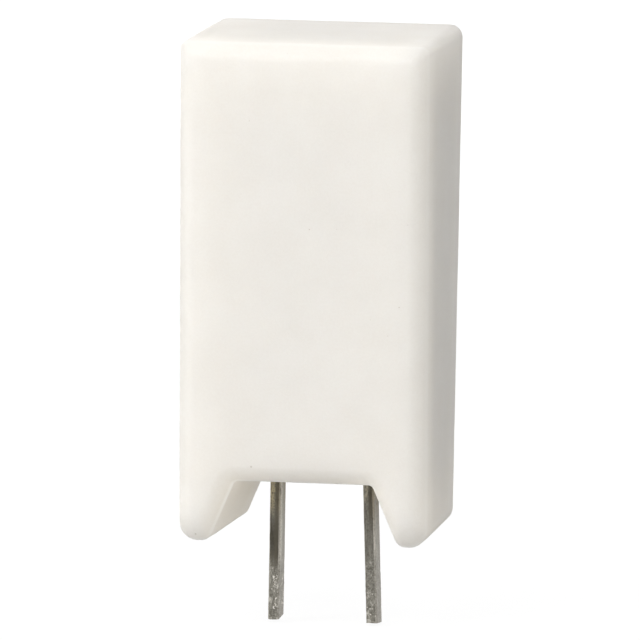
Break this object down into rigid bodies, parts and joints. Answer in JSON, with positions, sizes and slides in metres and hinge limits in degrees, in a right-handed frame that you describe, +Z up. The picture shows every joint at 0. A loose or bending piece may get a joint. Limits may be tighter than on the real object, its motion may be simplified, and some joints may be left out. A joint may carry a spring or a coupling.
{
  "type": "upright wirewound power resistor",
  "caption": "Upright wirewound resistor: wound ceramic core set in cement in a white round-edged ceramic case, standing on feet, with flat solder leads below.",
  "frame": {"origin": "on the board plane, midway between the two feet and midway through the depth of the case", "axes": "+Z up along the case, away from the board; +X to the right across the wide front face; +Y to the back, where the case is filled with cement"},
  "size_m": [0.013, 0.01, 0.0307],
  "materials": {
    "case": "matte pressed ceramic, off-white",
    "cement": "rough set cement, pale grey",
    "core": "matte ceramic rod",
    "wire": "dull drawn resistance wire",
    "cap": "plated steel cap",
    "lead": "dull tinned strip with solder spots"
  },
  "bodies": {
    "root": {"ceramic_case": "case", "cement_fill": "cement", "core_rod": "core", "resistance_wire": "wire", "upper_end_cap": "cap", "lower_end_cap": "cap", "short_lead": "lead", "long_lead": "lead"}
  },
  "joints": []
}
